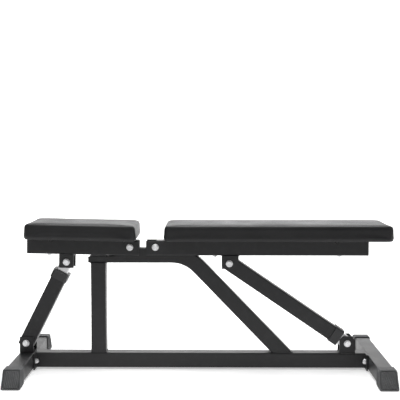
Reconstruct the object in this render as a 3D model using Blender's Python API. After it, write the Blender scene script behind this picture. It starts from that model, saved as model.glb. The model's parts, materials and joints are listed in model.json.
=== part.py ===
"""Adjustable weight bench with a flat-to-upright backrest and a tilting seat.

Metres, +Z up, +X towards the head end, feet on Z = 0. Every node is one closed solid.
Tubes, plates, bolts and pads are lofts through rings of points; holes are Boolean cuts.
"""

import bpy
from math import atan2, cos, hypot, pi, radians, sin
from mathutils import Matrix, Vector

# ---------------------------------------------------------------- driving dimensions
GAP = 0.0003                 # between solids that touch or are welded
RUNNING = 0.0006             # between faces that slide or turn on each other

TUBE = 0.050                 # square tube of rail, post, stabilizers, beams and strut outers
WALL = 0.0025
TUBE_RADIUS = 0.004          # outer corner radius of every tube
BRACE_SIDE_GAP = 0.0025      # each side of the brace, inside the beams that straddle it
BRACE_WIDTH = TUBE - 2 * (WALL + BRACE_SIDE_GAP)
GUIDE_WALL = 0.0025          # plastic guide between the two tubes of a strut
INNER_TUBE = TUBE - 2 * (WALL + GUIDE_WALL)
INNER_WALL = 0.002

SOLE = 0.006                 # rubber under the stabilizers
FRONT_X = -0.586             # stabilizer centre lines
REAR_X = 0.578
STABILIZER_LENGTH = 0.500
END_PLATE = 0.005
END_PLATE_FLOOR_GAP = 0.0035
STABILIZER_BOLT_Y = TUBE / 2 + 0.013     # each side of the centre line, clear of the rail
END_PLATE_WIDTH = 2 * (STABILIZER_BOLT_Y + 0.014)

CAP_WALL = 0.0035            # foot caps
CAP_OVER_TUBE = 0.033        # how far a stabilizer reaches into its cap
CAP_MOUTH_Y = STABILIZER_LENGTH / 2 - CAP_OVER_TUBE
CAP_TOP_Y = STABILIZER_LENGTH / 2 + 0.0065
CAP_BASE_Y = STABILIZER_LENGTH / 2 + 0.038
CAP_BASE_HALF = TUBE / 2 + 0.0055
CAP_CORNER = 0.008

POST_X = -0.345
BRACE_FRONT_X = -0.379
BRACE_TOP_Z = 0.409
BRACE_BEND_X = -0.100        # where the brace starts to bend down
BRACE_BEND_RADIUS = 0.125    # on its centre line
BRACE_ANGLE = radians(46)
NOTCH_END_X = -0.292         # the brace is open-topped in front of this
NOTCH_Z = BRACE_TOP_Z - 0.029

PIVOT_Z = BRACE_TOP_Z + 0.003
SEAT_PIVOT = (-0.239, PIVOT_Z)   # x, z of the hinge axes
BACK_PIVOT = (-0.154, PIVOT_Z)
SEAT_REST_TILT = radians(1.1)    # nose up
SEAT_TRAVEL = radians(15)
BACK_TRAVEL = radians(92)
BEAM_LAP = 0.025                 # how far the beams hang down beside the brace
BEAM_BOTTOM_Z = BRACE_TOP_Z - BEAM_LAP
SEAT_BEAM_X = (-0.582, -0.209)
BACK_BEAM_X = (-0.185, 0.5554)
BEAM_SLOT = BRACE_WIDTH / 2 + 0.0015     # half width of the slots that clear the brace
BARREL_RADIUS = 0.014
BARREL_LENGTH = TUBE - 2 * WALL - 0.001
SLOT_PAST_CURVE = 0.014          # beam slot end beyond the point where the brace drops away

PAD_WIDTH = 0.240
PAD_THICKNESS = 0.0515
SEAT_PAD_X = (-0.574, -0.212)
BACK_PAD_X = (-0.1195, 0.6188)
PAD_CORNER = 0.022               # plan radius of the pad corners
PAD_EDGE = 0.012                 # rounding along the pad's top edge
COVER = 0.003
SEAT_ROLL = 0.050                # soft rear end of the seat pad, in front of the backrest
BOARD = 0.012
BOARD_INSET = 0.004
CROSS_BAR = (0.040, 0.200, 0.005)
SEAT_BARS_X = (-0.511, -0.274)
BACK_BARS_X = (0.0445, 0.4615)
PAD_BOLT_INTO_BOARD = 0.009

EAR = 0.004                      # bracket plate
STRUT_PIVOT_DROP = TUBE / 2 + 0.001      # strut pivots below the beams
SEAT_STRUT_TOP_X = -0.450        # on the seat with the seat level
BACK_STRUT_TOP_X = 0.0925
FOOT_PIVOT_Z = SOLE + TUBE + 0.0328
SEAT_STRUT_FOOT = (FRONT_X - 0.002, FOOT_PIVOT_Z)
BACK_STRUT_FOOT = (REAR_X - 0.0905, FOOT_PIVOT_Z)
SEAT_BRACKET_LENGTH = 0.049
BACK_BRACKET_LENGTH = 0.056
FRONT_BRACKET = (0.0466, 0.0212) # length along X, ear above its pivot
REAR_BRACKET = (0.0515, 0.0246)
REAR_CHAMFER = 0.013             # trims the rear ears where the strut's collar comes down
SEAT_BRACKET_BELOW = 0.0195      # ear below its pivot
BACK_BRACKET_BELOW = 0.018
STRUT_TAIL = 0.012               # tube beyond the seat strut's lower pivot
STRUT_NOSE_RADIUS = STRUT_PIVOT_DROP - EAR - 0.0015   # rounded lugs at the upper pivot
EYE_RADIUS = INNER_TUBE / 2 - 0.0015                  # rounded ends of the inner tubes
SEAT_MOUTH_FROM_TOP = 0.036      # collar mouth to the strut's far pivot
BACK_MOUTH_FROM_FOOT = 0.030
COLLAR_LENGTH = 0.030
COLLAR_WALL = 0.003
COLLAR_LIP = 0.003
SLEEVE_GAP = 0.0004

PIN_RADIUS = 0.005
PIN_HOUSING = (0.011, 0.022)     # radius, length
PIN_FROM_MOUTH = 0.052
PIN_TRAVEL = 0.008
KNOB = (0.015, 0.020)            # radius, length
HOLE_RADIUS = 0.006
BACK_POSITIONS = 8
SEAT_POSITIONS = 3

M12, M10, M8 = 0.006, 0.005, 0.004   # shank radii
BOLT_CLEARANCE = 0.0004
WASHER = 0.0015
BEND_STEPS = 8
ROUND = 24                       # points round a bolt, barrel or hole

MATERIALS = {
    "frame_black": ((0.028, 0.028, 0.030), 0.38, 0.0),
    "zinc": ((0.72, 0.73, 0.74), 0.28, 1.0),
    "rubber": ((0.045, 0.046, 0.048), 0.70, 0.0),
    "plastic": ((0.022, 0.022, 0.024), 0.45, 0.0),
    "vinyl": ((0.020, 0.020, 0.021), 0.42, 0.0),
    "foam": ((0.30, 0.30, 0.32), 0.90, 0.0),
    "plywood": ((0.52, 0.36, 0.20), 0.70, 0.0),
}

HALF = TUBE / 2
FLOOR_TUBE_TOP = SOLE + TUBE
BEAM_TOP_Z = BEAM_BOTTOM_Z + TUBE
BOARD_Z = BEAM_TOP_Z + CROSS_BAR[2] + 2 * GAP
PAD_TOP_Z = BOARD_Z + PAD_THICKNESS
BRACE_CENTRE_Z = BRACE_TOP_Z - HALF


# ---------------------------------------------------------------- helpers
def material(slot):
    found = bpy.data.materials.get(slot)
    if found:
        return found
    colour, roughness, metallic = MATERIALS[slot]
    made = bpy.data.materials.new(slot)
    made.use_nodes = True
    shader = made.node_tree.nodes["Principled BSDF"]
    shader.inputs["Base Color"].default_value = (*colour, 1.0)
    shader.inputs["Roughness"].default_value = roughness
    shader.inputs["Metallic"].default_value = metallic
    made.diffuse_color = (*colour, 1.0)
    return made


def pivot_empty(name, place):
    """An empty on a joint axis, at x, z or x, y, z."""
    empty = bpy.data.objects.new(name, None)
    empty.location = (place[0], 0.0, place[1]) if len(place) == 2 else place
    empty.empty_display_size = 0.05
    bpy.context.scene.collection.objects.link(empty)
    bpy.context.view_layer.update()
    return empty


def add_object(name, points, faces, slot, body):
    mesh = bpy.data.meshes.new(name)
    mesh.from_pydata([tuple(point) for point in points], [], faces)
    mesh.validate()
    made = bpy.data.objects.new(name, mesh)
    bpy.context.scene.collection.objects.link(made)
    if slot:
        mesh.materials.append(material(slot))
    if body:
        made.parent = body
        made.matrix_parent_inverse = body.matrix_world.inverted()
    return made


def outward(points, faces):
    """The faces turned round if they enclose a negative volume."""
    volume = 0.0
    for face in faces:
        a = Vector(points[face[0]])
        for b, c in zip(face[1:-1], face[2:]):
            volume += a.dot(Vector(points[b]).cross(Vector(points[c])))
    return faces if volume > 0 else [face[::-1] for face in faces]


def skin(rings, closed=False):
    """Points and faces through rings of equal count: capped at both ends, or closed into a hollow loop."""
    count = len(rings[0])
    points = [point for ring in rings for point in ring]
    faces = []
    for row in range(len(rings) if closed else len(rings) - 1):
        base, top = row * count, (row + 1) % len(rings) * count
        for i in range(count):
            j = (i + 1) % count
            faces.append((base + i, base + j, top + j, top + i))
    if not closed:
        faces.append(tuple(range(count))[::-1])
        faces.append(tuple(range(len(points) - count, len(points))))
    return points, outward(points, faces)


def loft(name, rings, slot, body, closed=False):
    made = add_object(name, *skin(rings, closed), slot, body)
    made.data.shade_smooth()
    made.data.set_sharp_from_angle(angle=radians(35))
    return made


def rounded_rectangle(half_u, half_v, radius, steps=2):
    """Corner arcs of a rectangle, anticlockwise from the first quadrant."""
    outline = []
    for corner, (su, sv) in enumerate(((1, 1), (-1, 1), (-1, -1), (1, -1))):
        for step in range(steps + 1):
            angle = (corner + step / steps) * pi / 2
            outline.append((su * (half_u - radius) + radius * cos(angle),
                            sv * (half_v - radius) + radius * sin(angle)))
    return outline


def circle(radius, count=ROUND):
    return [(radius * cos(2 * pi * i / count), radius * sin(2 * pi * i / count)) for i in range(count)]


def hexagon(flat_radius, count=ROUND):
    """A hexagon sampled at the same angles as a circle, given half its width across flats."""
    outline = []
    for i in range(count):
        angle = 2 * pi * i / count
        off = (angle + pi / 6) % (pi / 3) - pi / 6
        outline.append((flat_radius / cos(off) * cos(angle), flat_radius / cos(off) * sin(angle)))
    return outline


class Line:
    """A straight axis from start, with two directions across it, to place outlines along."""

    def __init__(self, start, along, across, up):
        self.start, self.along = Vector(start), Vector(along)
        self.across, self.up = Vector(across), Vector(up)

    def ring(self, distance, outline, shift=(0.0, 0.0)):
        centre = self.start + self.along * distance
        return [centre + self.across * (u + shift[0]) + self.up * (v + shift[1]) for u, v in outline]


def along_x(z, y=0.0):
    return Line((0, y, z), (1, 0, 0), (0, 1, 0), (0, 0, 1))


def along_y(x, z):
    return Line((x, 0, z), (0, 1, 0), (1, 0, 0), (0, 0, 1))


def along_z(x, y=0.0):
    return Line((x, y, 0), (0, 0, 1), (1, 0, 0), (0, 1, 0))


def tilted(origin, angle):
    """A line in the XZ plane that leaves origin at an angle above +X."""
    return Line((origin[0], 0, origin[1]), (cos(angle), 0, sin(angle)), (0, 1, 0), (-sin(angle), 0, cos(angle)))


def square_tube(name, line, low, high, width, height, wall, slot, body):
    outer = rounded_rectangle(width / 2, height / 2, TUBE_RADIUS)
    inner = rounded_rectangle(width / 2 - wall, height / 2 - wall, TUBE_RADIUS - wall + 0.0005)
    rings = [line.ring(low, outer), line.ring(high, outer), line.ring(high, inner), line.ring(low, inner)]
    return loft(name, rings, slot, body, closed=True)


def block(name, low, high, slot, body):
    """A plain box between two corners."""
    outline = [(low[0], low[1]), (high[0], low[1]), (high[0], high[1]), (low[0], high[1])]
    line = along_z(0.0)
    return loft(name, [line.ring(low[2], outline), line.ring(high[2], outline)], slot, body)


def cutter(shape):
    shape.hide_render = True
    shape.display_type = "WIRE"
    return shape


def cut(target, shape, operation="DIFFERENCE"):
    modifier = target.modifiers.new(shape.name, "BOOLEAN")
    modifier.operation = operation
    modifier.object = cutter(shape)


def drill(target, line, low, high, radius, body=None):
    """A round hole along a line, wide enough that its flats still clear the radius."""
    drill_all(target, [(line, radius)], low, high, body)


def drill_all(target, holes, low, high, body=None):
    """Several (line, radius) holes that don't meet, as one cut."""
    points, faces = [], []
    for line, radius in holes:
        outline = circle(radius / cos(pi / ROUND))
        some, around = skin([line.ring(low, outline), line.ring(high, outline)])
        faces += [[len(points) + index for index in face] for face in around]
        points += some
    cut(target, add_object(f"{target.name}_holes_{len(target.modifiers)}", points, faces, None, body))


def bolt(name, line, head_at, nut_at, radius, slot, body, reverse=1.0):
    """Hex bolt with washers and its nut: the head's seat at head_at, the nut's seat at nut_at."""
    head, nut, washer = hexagon(radius * 1.6), hexagon(radius * 1.6), circle(radius * 2.1)
    shank = circle(radius)
    low, high = head_at - reverse * GAP, nut_at + reverse * GAP
    w = reverse * WASHER
    rings = [
        line.ring(low - w - reverse * radius * 1.2, circle(radius * 1.25)),
        line.ring(low - w - reverse * radius * 1.05, head),
        line.ring(low - w, head),
        line.ring(low - w, washer),
        line.ring(low, washer),
        line.ring(low, shank),
        line.ring(high, shank),
        line.ring(high, washer),
        line.ring(high + w, washer),
        line.ring(high + w, nut),
        line.ring(high + w + reverse * radius * 1.6, nut),
        line.ring(high + w + reverse * radius * 1.6, shank),
        line.ring(high + w + reverse * radius * 2.1, circle(radius * 0.85)),
    ]
    return loft(name, rings, slot, body)


def half_bolt(name, line, seat, inward, radius, slot, body):
    """Head or nut end of a bolt whose shank stops at the inner face of one ear."""
    out = -1.0 if inward > 0 else 1.0
    start = seat + out * GAP
    rings = [
        line.ring(start + out * (WASHER + radius * 1.35), circle(radius * 1.2)),
        line.ring(start + out * (WASHER + radius * 1.15), hexagon(radius * 1.6)),
        line.ring(start + out * WASHER, hexagon(radius * 1.6)),
        line.ring(start + out * WASHER, circle(radius * 2.1)),
        line.ring(start, circle(radius * 2.1)),
        line.ring(start, circle(radius)),
        line.ring(seat - out * EAR, circle(radius)),
    ]
    return loft(name, rings, slot, body)


def ring_bush(name, line, low, high, outer, inner, slot, body):
    rings = [line.ring(low, circle(outer)), line.ring(high, circle(outer)),
             line.ring(high, circle(inner)), line.ring(low, circle(inner))]
    return loft(name, rings, slot, body, closed=True)


def ear_bracket(name, x, length, web_z, tip_z, inner_half, pivot, body):
    """U bracket: a web on a tube and two ears with the pivot hole. Ears hang down where tip_z is lower."""
    outer_half = inner_half + EAR
    web = EAR if tip_z > web_z else -EAR
    outline = [(-outer_half, web_z), (outer_half, web_z), (outer_half, tip_z), (inner_half, tip_z),
               (inner_half, web_z + web), (-inner_half, web_z + web), (-inner_half, tip_z),
               (-outer_half, tip_z)]
    line = along_x(0.0)
    made = loft(name, [line.ring(x - length / 2, outline), line.ring(x + length / 2, outline)],
                "frame_black", body)
    drill(made, along_y(*pivot), -TUBE, TUBE, M12 + BOLT_CLEARANCE, body)
    return made


def trim_corner(target, x, z, out, size):
    """Cuts a 45 degree corner off an upright plate whose tip is at x, z; out is -1 or 1 along X."""
    clear = 0.002
    outline = [(x + out * clear, z + clear), (x - out * (size + clear), z + clear),
               (x + out * clear, z - size - clear)]
    rings = [[Vector((u, y, v)) for u, v in outline] for y in (-TUBE, TUBE)]
    cut(target, loft(f"{target.name}_corner_{len(target.modifiers)}", rings, None, None))


# ---------------------------------------------------------------- frame
def make_base(root):
    rail_end = TUBE / 2 + END_PLATE + 2 * GAP
    square_tube("base_rail", along_x(SOLE + HALF), FRONT_X + rail_end, REAR_X - rail_end,
                TUBE, TUBE, WALL, "frame_black", root)
    for end, x, outwards in (("front", FRONT_X, -1), ("rear", REAR_X, 1)):
        stabilizer = square_tube(f"{end}_stabilizer",
                                 Line((x, 0, SOLE + HALF), (0, 1, 0), (1, 0, 0), (0, 0, 1)),
                                 -STABILIZER_LENGTH / 2, STABILIZER_LENGTH / 2,
                                 TUBE, TUBE, WALL, "frame_black", root)
        plate_face = x - outwards * (HALF + GAP)
        plate_back = plate_face - outwards * END_PLATE
        plate = block(f"{end}_end_plate",
                      (min(plate_face, plate_back), -END_PLATE_WIDTH / 2, END_PLATE_FLOOR_GAP),
                      (max(plate_face, plate_back), END_PLATE_WIDTH / 2, FLOOR_TUBE_TOP),
                      "frame_black", root)
        for side, y in (("near", -STABILIZER_BOLT_Y), ("far", STABILIZER_BOLT_Y)):
            line = along_x(SOLE + HALF, y)
            drill(stabilizer, line, x - TUBE, x + TUBE, M10 + BOLT_CLEARANCE)
            drill(plate, line, x - TUBE, x + TUBE, M10 + BOLT_CLEARANCE)
            bolt(f"stabilizer_bolt_{end}_{side}", line, x + outwards * HALF, plate_back, M10,
                 "zinc", root, reverse=-outwards)
            make_foot_cap(f"foot_cap_{end}_{side}", x, 1 if side == "far" else -1, root)


def make_foot_cap(name, x, side, root):
    """Rubber boot: its end face leans out towards a wider base, and the tube pushes into its mouth."""
    top = FLOOR_TUBE_TOP + CAP_WALL
    levels = ((0.0, 0.0), (0.004, 0.06), (0.5 * top, 0.5), (top - 0.004, 0.93), (top, 1.0))
    rings = []
    for z, share in levels:
        end = CAP_BASE_Y + (CAP_TOP_Y - CAP_BASE_Y) * share
        half = CAP_BASE_HALF + (HALF + CAP_WALL - CAP_BASE_HALF) * min(1.0, 1.6 * share)
        if z == top:
            end, half = end - 0.003, half - 0.003
        middle, length = (end + CAP_MOUTH_Y) / 2, end - CAP_MOUTH_Y
        outline = rounded_rectangle(half, length / 2, CAP_CORNER, 3)
        rings.append(along_z(x, side * middle).ring(z, outline))
    cap = loft(name, rings, "rubber", root)
    socket_end = STABILIZER_LENGTH / 2 + GAP
    line = Line((x, 0, SOLE + HALF), (0, side, 0), (1, 0, 0), (0, 0, 1))
    outline = rounded_rectangle(HALF + GAP, HALF + GAP, TUBE_RADIUS)
    cut(cap, loft(f"{name}_socket", [line.ring(0.6 * CAP_MOUTH_Y, outline), line.ring(socket_end, outline)],
                  None, None))


def brace_rings(outline):
    """Rings along the brace: level, round the bend, then down to the rail, where they end level."""
    rings = [along_x(BRACE_CENTRE_Z).ring(BRACE_FRONT_X, outline)]
    for step in range(BEND_STEPS + 1):
        angle = BRACE_ANGLE * step / BEND_STEPS
        centre = (BRACE_BEND_X + BRACE_BEND_RADIUS * sin(angle),
                  BRACE_CENTRE_Z - BRACE_BEND_RADIUS * (1 - cos(angle)))
        rings.append(tilted(centre, -angle).ring(0.0, outline))
    down = Vector((cos(BRACE_ANGLE), 0, -sin(BRACE_ANGLE)))
    foot = FLOOR_TUBE_TOP + GAP
    rings.append([point + down * ((foot - point.z) / down.z) for point in rings[-1]])
    return rings


def make_brace_and_post(root):
    square_tube("front_post", along_z(POST_X), FLOOR_TUBE_TOP + GAP, BRACE_TOP_Z - TUBE - GAP,
                TUBE, TUBE, WALL, "frame_black", root)
    outer = brace_rings(rounded_rectangle(BRACE_WIDTH / 2, HALF, TUBE_RADIUS))
    inner = brace_rings(rounded_rectangle(BRACE_WIDTH / 2 - WALL, HALF - WALL, TUBE_RADIUS - WALL + 0.0005))
    brace = loft("main_brace", outer + inner[::-1], "frame_black", root, closed=True)
    notch = block("brace_notch", (BRACE_FRONT_X - TUBE, -TUBE, NOTCH_Z),
                  (NOTCH_END_X, TUBE, BRACE_TOP_Z + TUBE), None, None)
    cut(brace, notch)
    for name, (x, z) in (("seat", SEAT_PIVOT), ("back", BACK_PIVOT)):
        drill(brace, along_y(x, z), -TUBE, TUBE, BARREL_RADIUS + GAP)
        ring_bush(f"{name}_hinge_barrel", along_y(x, z), -BARREL_LENGTH / 2, BARREL_LENGTH / 2,
                  BARREL_RADIUS, M12 + BOLT_CLEARANCE, "zinc", root)
        bolt(f"{name}_pivot_bolt", along_y(x, z), -HALF - RUNNING, HALF + RUNNING, M12, "zinc", root)
    trough = BRACE_TOP_Z - TUBE + WALL + GAP
    half = BRACE_WIDTH / 2 - WALL - TUBE_RADIUS / 2
    beam_underside = SEAT_PIVOT[1] - (SEAT_PIVOT[1] - BEAM_BOTTOM_Z) * cos(SEAT_REST_TILT)
    reach = SEAT_PIVOT[0] - (POST_X + HALF)
    block("seat_rest_bumper", (POST_X - HALF, -half, trough),
          (POST_X + HALF, half, beam_underside + reach * sin(SEAT_REST_TILT) - GAP), "rubber", root)


def make_floor_brackets(root):
    foot_x, foot_z = SEAT_STRUT_FOOT
    ear_bracket("front_strut_bracket", FRONT_X, FRONT_BRACKET[0], FLOOR_TUBE_TOP + GAP,
                foot_z + FRONT_BRACKET[1], HALF + RUNNING, SEAT_STRUT_FOOT, root)
    line = along_y(foot_x, foot_z)
    ears = HALF + RUNNING + EAR
    bolt("seat_strut_foot_bolt", line, -ears, ears, M12, "zinc", root)
    tip = FOOT_PIVOT_Z + REAR_BRACKET[1]
    rear = ear_bracket("rear_strut_bracket", BACK_STRUT_FOOT[0], REAR_BRACKET[0], FLOOR_TUBE_TOP + GAP,
                       tip, INNER_TUBE / 2 + RUNNING, BACK_STRUT_FOOT, root)
    for out in (-1, 1):
        trim_corner(rear, BACK_STRUT_FOOT[0] + out * REAR_BRACKET[0] / 2, tip, out, REAR_CHAMFER)
    line = along_y(*BACK_STRUT_FOOT)
    ears = INNER_TUBE / 2 + RUNNING + EAR
    half_bolt("back_strut_foot_bolt_head", line, -ears, 1, M12, "zinc", root)
    half_bolt("back_strut_foot_bolt_nut", line, ears, -1, M12, "zinc", root)


# ---------------------------------------------------------------- seat and backrest
def make_beam(name, span, plugged_end, slot_end, body):
    """Square tube whose hinge end is open underneath, so that it straddles the brace."""
    low, high = span
    plug = 0.003
    if plugged_end == low:
        low += plug + GAP
    else:
        high -= plug + GAP
    beam = square_tube(name, along_x(BEAM_BOTTOM_Z + HALF), low, high, TUBE, TUBE, WALL, "frame_black", body)
    hinge_end = high if plugged_end == span[0] else low
    x_low, x_high = sorted((hinge_end + (TUBE if plugged_end == span[0] else -TUBE), slot_end))
    cut(beam, block(f"{name}_slot", (x_low, -BEAM_SLOT, BEAM_BOTTOM_Z - TUBE),
                    (x_high, BEAM_SLOT, BEAM_BOTTOM_Z + HALF), None, body))
    inwards = 1 if plugged_end == span[0] else -1
    outer = rounded_rectangle(HALF, HALF, TUBE_RADIUS)
    insert_half = HALF - WALL - GAP
    insert = rounded_rectangle(insert_half, insert_half, TUBE_RADIUS / 2)
    line = along_x(BEAM_BOTTOM_Z + HALF)
    loft(f"{name}_plug", [line.ring(plugged_end, outer), line.ring(plugged_end + inwards * plug, outer),
                          line.ring(plugged_end + inwards * plug, insert),
                          line.ring(plugged_end + inwards * 0.022, insert)], "plastic", body)
    return beam


def pad_rings(span, half_width, bottom, top, corner, edge):
    """Rings of an upholstered block from its underside up over its rounded top edge."""
    line = along_z((span[0] + span[1]) / 2)
    half_length = (span[1] - span[0]) / 2
    rings = [line.ring(bottom, rounded_rectangle(half_length, half_width, corner, 3))]
    for step in range(4):
        angle = step / 3 * pi / 2
        inset = edge * (1 - cos(angle))
        rings.append(line.ring(top - edge + edge * sin(angle),
                               rounded_rectangle(half_length - inset, half_width - inset,
                                                 max(corner - inset, 0.002), 3)))
    return rings


def make_pad(name, span, body, bars, bolts, beam, soft_end=0.0):
    half = PAD_WIDTH / 2
    inset = COVER + GAP
    hollow = (span[0] + COVER, span[1] - COVER - soft_end)
    outer = pad_rings(span, half, BOARD_Z, PAD_TOP_Z, PAD_CORNER, PAD_EDGE)
    inner = pad_rings(hollow, half - COVER, BOARD_Z, PAD_TOP_Z - COVER, PAD_CORNER - COVER, PAD_EDGE - COVER)
    loft(f"{name}_cover", outer[::-1] + inner, "vinyl", body)
    core = (span[0] + inset, span[1] - inset - soft_end)
    foam = pad_rings(core, half - inset, BOARD_Z + BOARD + GAP, PAD_TOP_Z - inset,
                     PAD_CORNER - inset, PAD_EDGE - inset)
    loft(f"{name}_foam", foam, "foam", body)
    line = along_z((core[0] + core[1]) / 2)
    outline = rounded_rectangle((core[1] - core[0]) / 2 - BOARD_INSET, half - inset - BOARD_INSET,
                                PAD_CORNER - inset, 3)
    board = loft(f"{name}_board", [line.ring(BOARD_Z, outline), line.ring(BOARD_Z + BOARD, outline)],
                 "plywood", body)
    length, width, height = CROSS_BAR
    for label, x in bars:
        bar = block(f"{name}_cross_bar_{label}", (x - length / 2, -width / 2, BEAM_TOP_Z + GAP),
                    (x + length / 2, width / 2, BEAM_TOP_Z + GAP + height), "frame_black", body)
        if label not in bolts:
            continue
        line = along_z(x)
        tip = BOARD_Z + PAD_BOLT_INTO_BOARD
        for target in (beam, bar):
            drill(target, line, BEAM_BOTTOM_Z - TUBE, tip + TUBE, M8 + BOLT_CLEARANCE, body)
        drill(board, line, BEAM_BOTTOM_Z, tip + GAP, M8 + BOLT_CLEARANCE, body)
        under = BEAM_BOTTOM_Z - GAP
        loft(f"{name}_bolt_{label}",
             [line.ring(under - WASHER - M8 * 1.2, circle(M8 * 1.25)),
              line.ring(under - WASHER - M8 * 1.05, hexagon(M8 * 1.6)),
              line.ring(under - WASHER, hexagon(M8 * 1.6)), line.ring(under - WASHER, circle(M8 * 2.1)),
              line.ring(under, circle(M8 * 2.1)), line.ring(under, circle(M8)), line.ring(tip, circle(M8))],
             "zinc", body)


def make_seat(seat):
    slot_end = NOTCH_END_X - 0.003
    beam = make_beam("seat_beam", SEAT_BEAM_X, SEAT_BEAM_X[0], slot_end, seat)
    drill(beam, along_y(*SEAT_PIVOT), -TUBE, TUBE, M12 + BOLT_CLEARANCE, seat)
    make_pad("seat_pad", SEAT_PAD_X, seat, tuple(zip(("front", "rear"), SEAT_BARS_X)), ("front",), beam,
             SEAT_ROLL)
    pivot = (SEAT_STRUT_TOP_X, BEAM_BOTTOM_Z - STRUT_PIVOT_DROP)
    inner_half = INNER_TUBE / 2 + RUNNING
    ear_bracket("seat_strut_bracket", SEAT_STRUT_TOP_X, SEAT_BRACKET_LENGTH, BEAM_BOTTOM_Z - GAP,
                pivot[1] - SEAT_BRACKET_BELOW, inner_half, pivot, seat)
    half_bolt("seat_strut_top_bolt_head", along_y(*pivot), -inner_half - EAR, 1, M12, "zinc", seat)
    half_bolt("seat_strut_top_bolt_nut", along_y(*pivot), inner_half + EAR, -1, M12, "zinc", seat)


def brace_leaves_beam_x():
    """Where the brace's upper side drops below the underside of the beams."""
    outer = BRACE_BEND_RADIUS + HALF
    return BRACE_BEND_X + outer * sin(math_acos(1 - (BRACE_TOP_Z - BEAM_BOTTOM_Z) / outer))


def math_acos(value):
    return atan2((1 - value * value) ** 0.5, value)


def make_back(back):
    beam = make_beam("back_beam", BACK_BEAM_X, BACK_BEAM_X[1], brace_leaves_beam_x() + SLOT_PAST_CURVE, back)
    cut(beam, block("back_beam_top_slot", (BACK_BEAM_X[0] - TUBE, -BEAM_SLOT, BACK_PIVOT[1]),
                    (BACK_PIVOT[0] + 0.004, BEAM_SLOT, BEAM_TOP_Z + TUBE), None, back))
    drill(beam, along_y(*BACK_PIVOT), -TUBE, TUBE, M12 + BOLT_CLEARANCE, back)
    make_pad("back_pad", BACK_PAD_X, back, tuple(zip(("lower", "upper"), BACK_BARS_X)), ("lower", "upper"),
             beam)
    pivot = (BACK_STRUT_TOP_X, BEAM_BOTTOM_Z - STRUT_PIVOT_DROP)
    inner_half = HALF + RUNNING
    ear_bracket("back_strut_bracket", BACK_STRUT_TOP_X + 0.003, BACK_BRACKET_LENGTH, BEAM_BOTTOM_Z - GAP,
                pivot[1] - BACK_BRACKET_BELOW, inner_half, pivot, back)
    bolt("back_strut_top_bolt", along_y(*pivot), -inner_half - EAR, inner_half + EAR, M12, "zinc", back)


# ---------------------------------------------------------------- struts
def turned(point, centre, angle):
    """Point turned about centre in the XZ plane, positive from +X to +Z."""
    x, z = point[0] - centre[0], point[1] - centre[1]
    return (centre[0] + x * cos(angle) - z * sin(angle), centre[1] + x * sin(angle) + z * cos(angle))


def strut_travel(top, centre, travel, foot):
    """Length and angle of a strut at rest, and how far it extends by the end of the travel."""
    end = turned(top, centre, travel)
    rest_length = hypot(top[0] - foot[0], top[1] - foot[1])
    return rest_length, hypot(end[0] - foot[0], end[1] - foot[1]) - rest_length


def make_collar(name, line, mouth, body):
    """Plastic collar over the outer tube's end, with a sleeve that guides the inner tube."""
    def square(half):
        return rounded_rectangle(half, half, max(TUBE_RADIUS - (HALF - half), 0.001))
    over, seat = HALF + GAP + COLLAR_WALL, HALF + GAP
    sleeve, throat = HALF - WALL - GAP, INNER_TUBE / 2 + SLEEVE_GAP
    profile = ((mouth, over), (mouth - COLLAR_LENGTH, over), (mouth - COLLAR_LENGTH, seat),
               (mouth - COLLAR_LIP, seat), (mouth - COLLAR_LIP, sleeve),
               (mouth - COLLAR_LENGTH + 0.006, sleeve), (mouth - COLLAR_LENGTH + 0.006, throat),
               (mouth, throat))
    loft(name, [line.ring(at, square(half)) for at, half in profile], "plastic", body, closed=True)


def make_pull_pin(name, line, at, outer_tube, strut_body):
    """Threaded housing on the far side of the outer tube, and the spring-loaded pin with its knob."""
    centre = line.start + line.along * at
    across = Line((centre.x, 0, centre.z), (0, 1, 0), line.along, line.up)
    drill(outer_tube, across, 0.0, TUBE, PIN_RADIUS + BOLT_CLEARANCE, strut_body)
    radius, length = PIN_HOUSING
    face = HALF + GAP
    ring_bush(f"{name}_housing", across, face, face + length, radius, PIN_RADIUS + BOLT_CLEARANCE,
              "zinc", strut_body)
    pin = pivot_empty(f"{name}_axis", (centre.x, face, centre.z))
    pin.parent = strut_body
    pin.matrix_parent_inverse = strut_body.matrix_world.inverted()
    bpy.context.view_layer.update()
    knob_radius, knob_length = KNOB
    nose, knob_face = INNER_TUBE / 2 + RUNNING, face + length + RUNNING
    rings = [across.ring(nose, circle(PIN_RADIUS * 0.8)), across.ring(nose + 0.001, circle(PIN_RADIUS)),
             across.ring(knob_face, circle(PIN_RADIUS)), across.ring(knob_face, circle(knob_radius * 0.7)),
             across.ring(knob_face + knob_length * 0.45, circle(knob_radius * 0.6)),
             across.ring(knob_face + knob_length * 0.7, circle(knob_radius)),
             across.ring(knob_face + knob_length, circle(knob_radius * 0.8))]
    loft(name, rings, "plastic", pin)


def lug_outline(radius, half, length):
    """Side view of a tube end: a half round at the pivot, then straight sides, as (along, up)."""
    nose = [(radius * cos(a), radius * sin(a)) for a in (pi / 2 + pi * i / 12 for i in range(13))]
    return nose + [(0.0, -half), (length, -half), (length, half), (0.0, half)]


def mask_end(tube, line, radius, half, length, body):
    """Keeps only what lies inside the side view of a rounded tube end."""
    outline = lug_outline(radius, half, length)
    rings = [[line.start + line.along * a + line.up * b + line.across * y for a, b in outline]
             for y in (-TUBE, TUBE)]
    cut(tube, loft(f"{tube.name}_mask", rings, None, body), "INTERSECT")


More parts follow.
